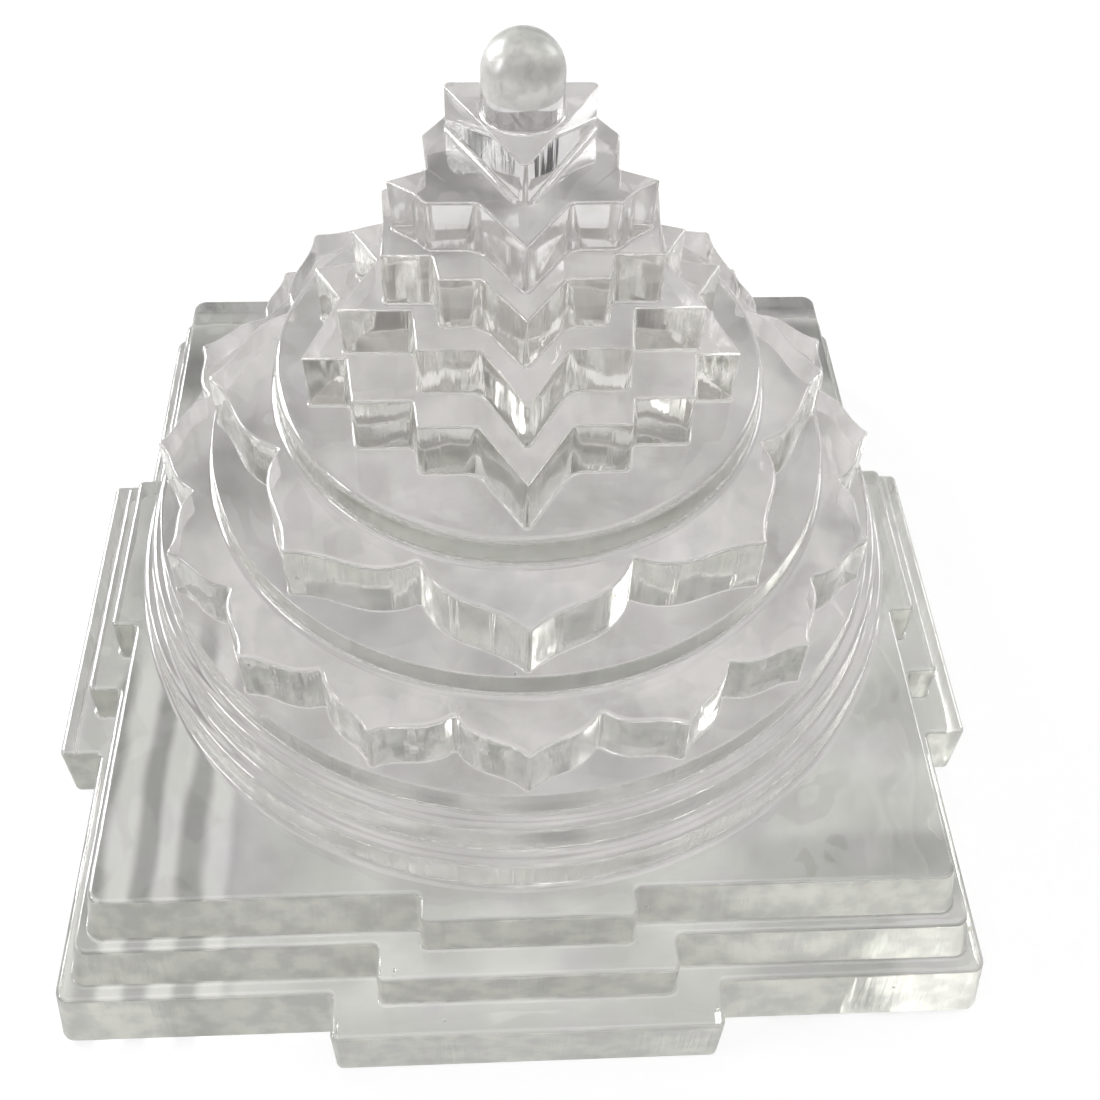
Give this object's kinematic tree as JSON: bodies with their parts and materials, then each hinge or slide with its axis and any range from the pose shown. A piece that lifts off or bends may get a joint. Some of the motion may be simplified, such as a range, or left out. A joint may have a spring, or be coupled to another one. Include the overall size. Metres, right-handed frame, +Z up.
{
  "type": "stepped shri yantra",
  "caption": "Stepped pyramid-like shri yantra carved in clear crystal: gated square plates, round steps, lotus rings, star tiers, a triangle and a domed bindu.",
  "frame": {"origin": "centre of the foot, on the surface that the object stands on", "axes": "+Z up through the levels, -Y towards the viewer of the front, +X to the viewer's right"},
  "size_m": [0.1086, 0.1086, 0.0915],
  "materials": {
    "clear_crystal": "polished, with softly rounded edges",
    "ground_crystal": "finely ground dome over a clear neck"
  },
  "bodies": {
    "root": {"lower_base_plate": "clear_crystal", "middle_base_plate": "clear_crystal", "upper_base_plate": "clear_crystal", "lower_ring_step": "clear_crystal", "middle_ring_step": "clear_crystal", "sixteen_petal_disc": "clear_crystal", "sixteen_petal_lotus": "clear_crystal", "eight_petal_disc": "clear_crystal", "eight_petal_lotus": "clear_crystal", "star_disc": "clear_crystal", "fourteen_point_tier": "clear_crystal", "outer_ten_point_tier": "clear_crystal", "inner_ten_point_tier": "clear_crystal", "eight_point_tier": "clear_crystal", "triangle_tier": "clear_crystal", "bindu": "ground_crystal"}
  },
  "joints": []
}
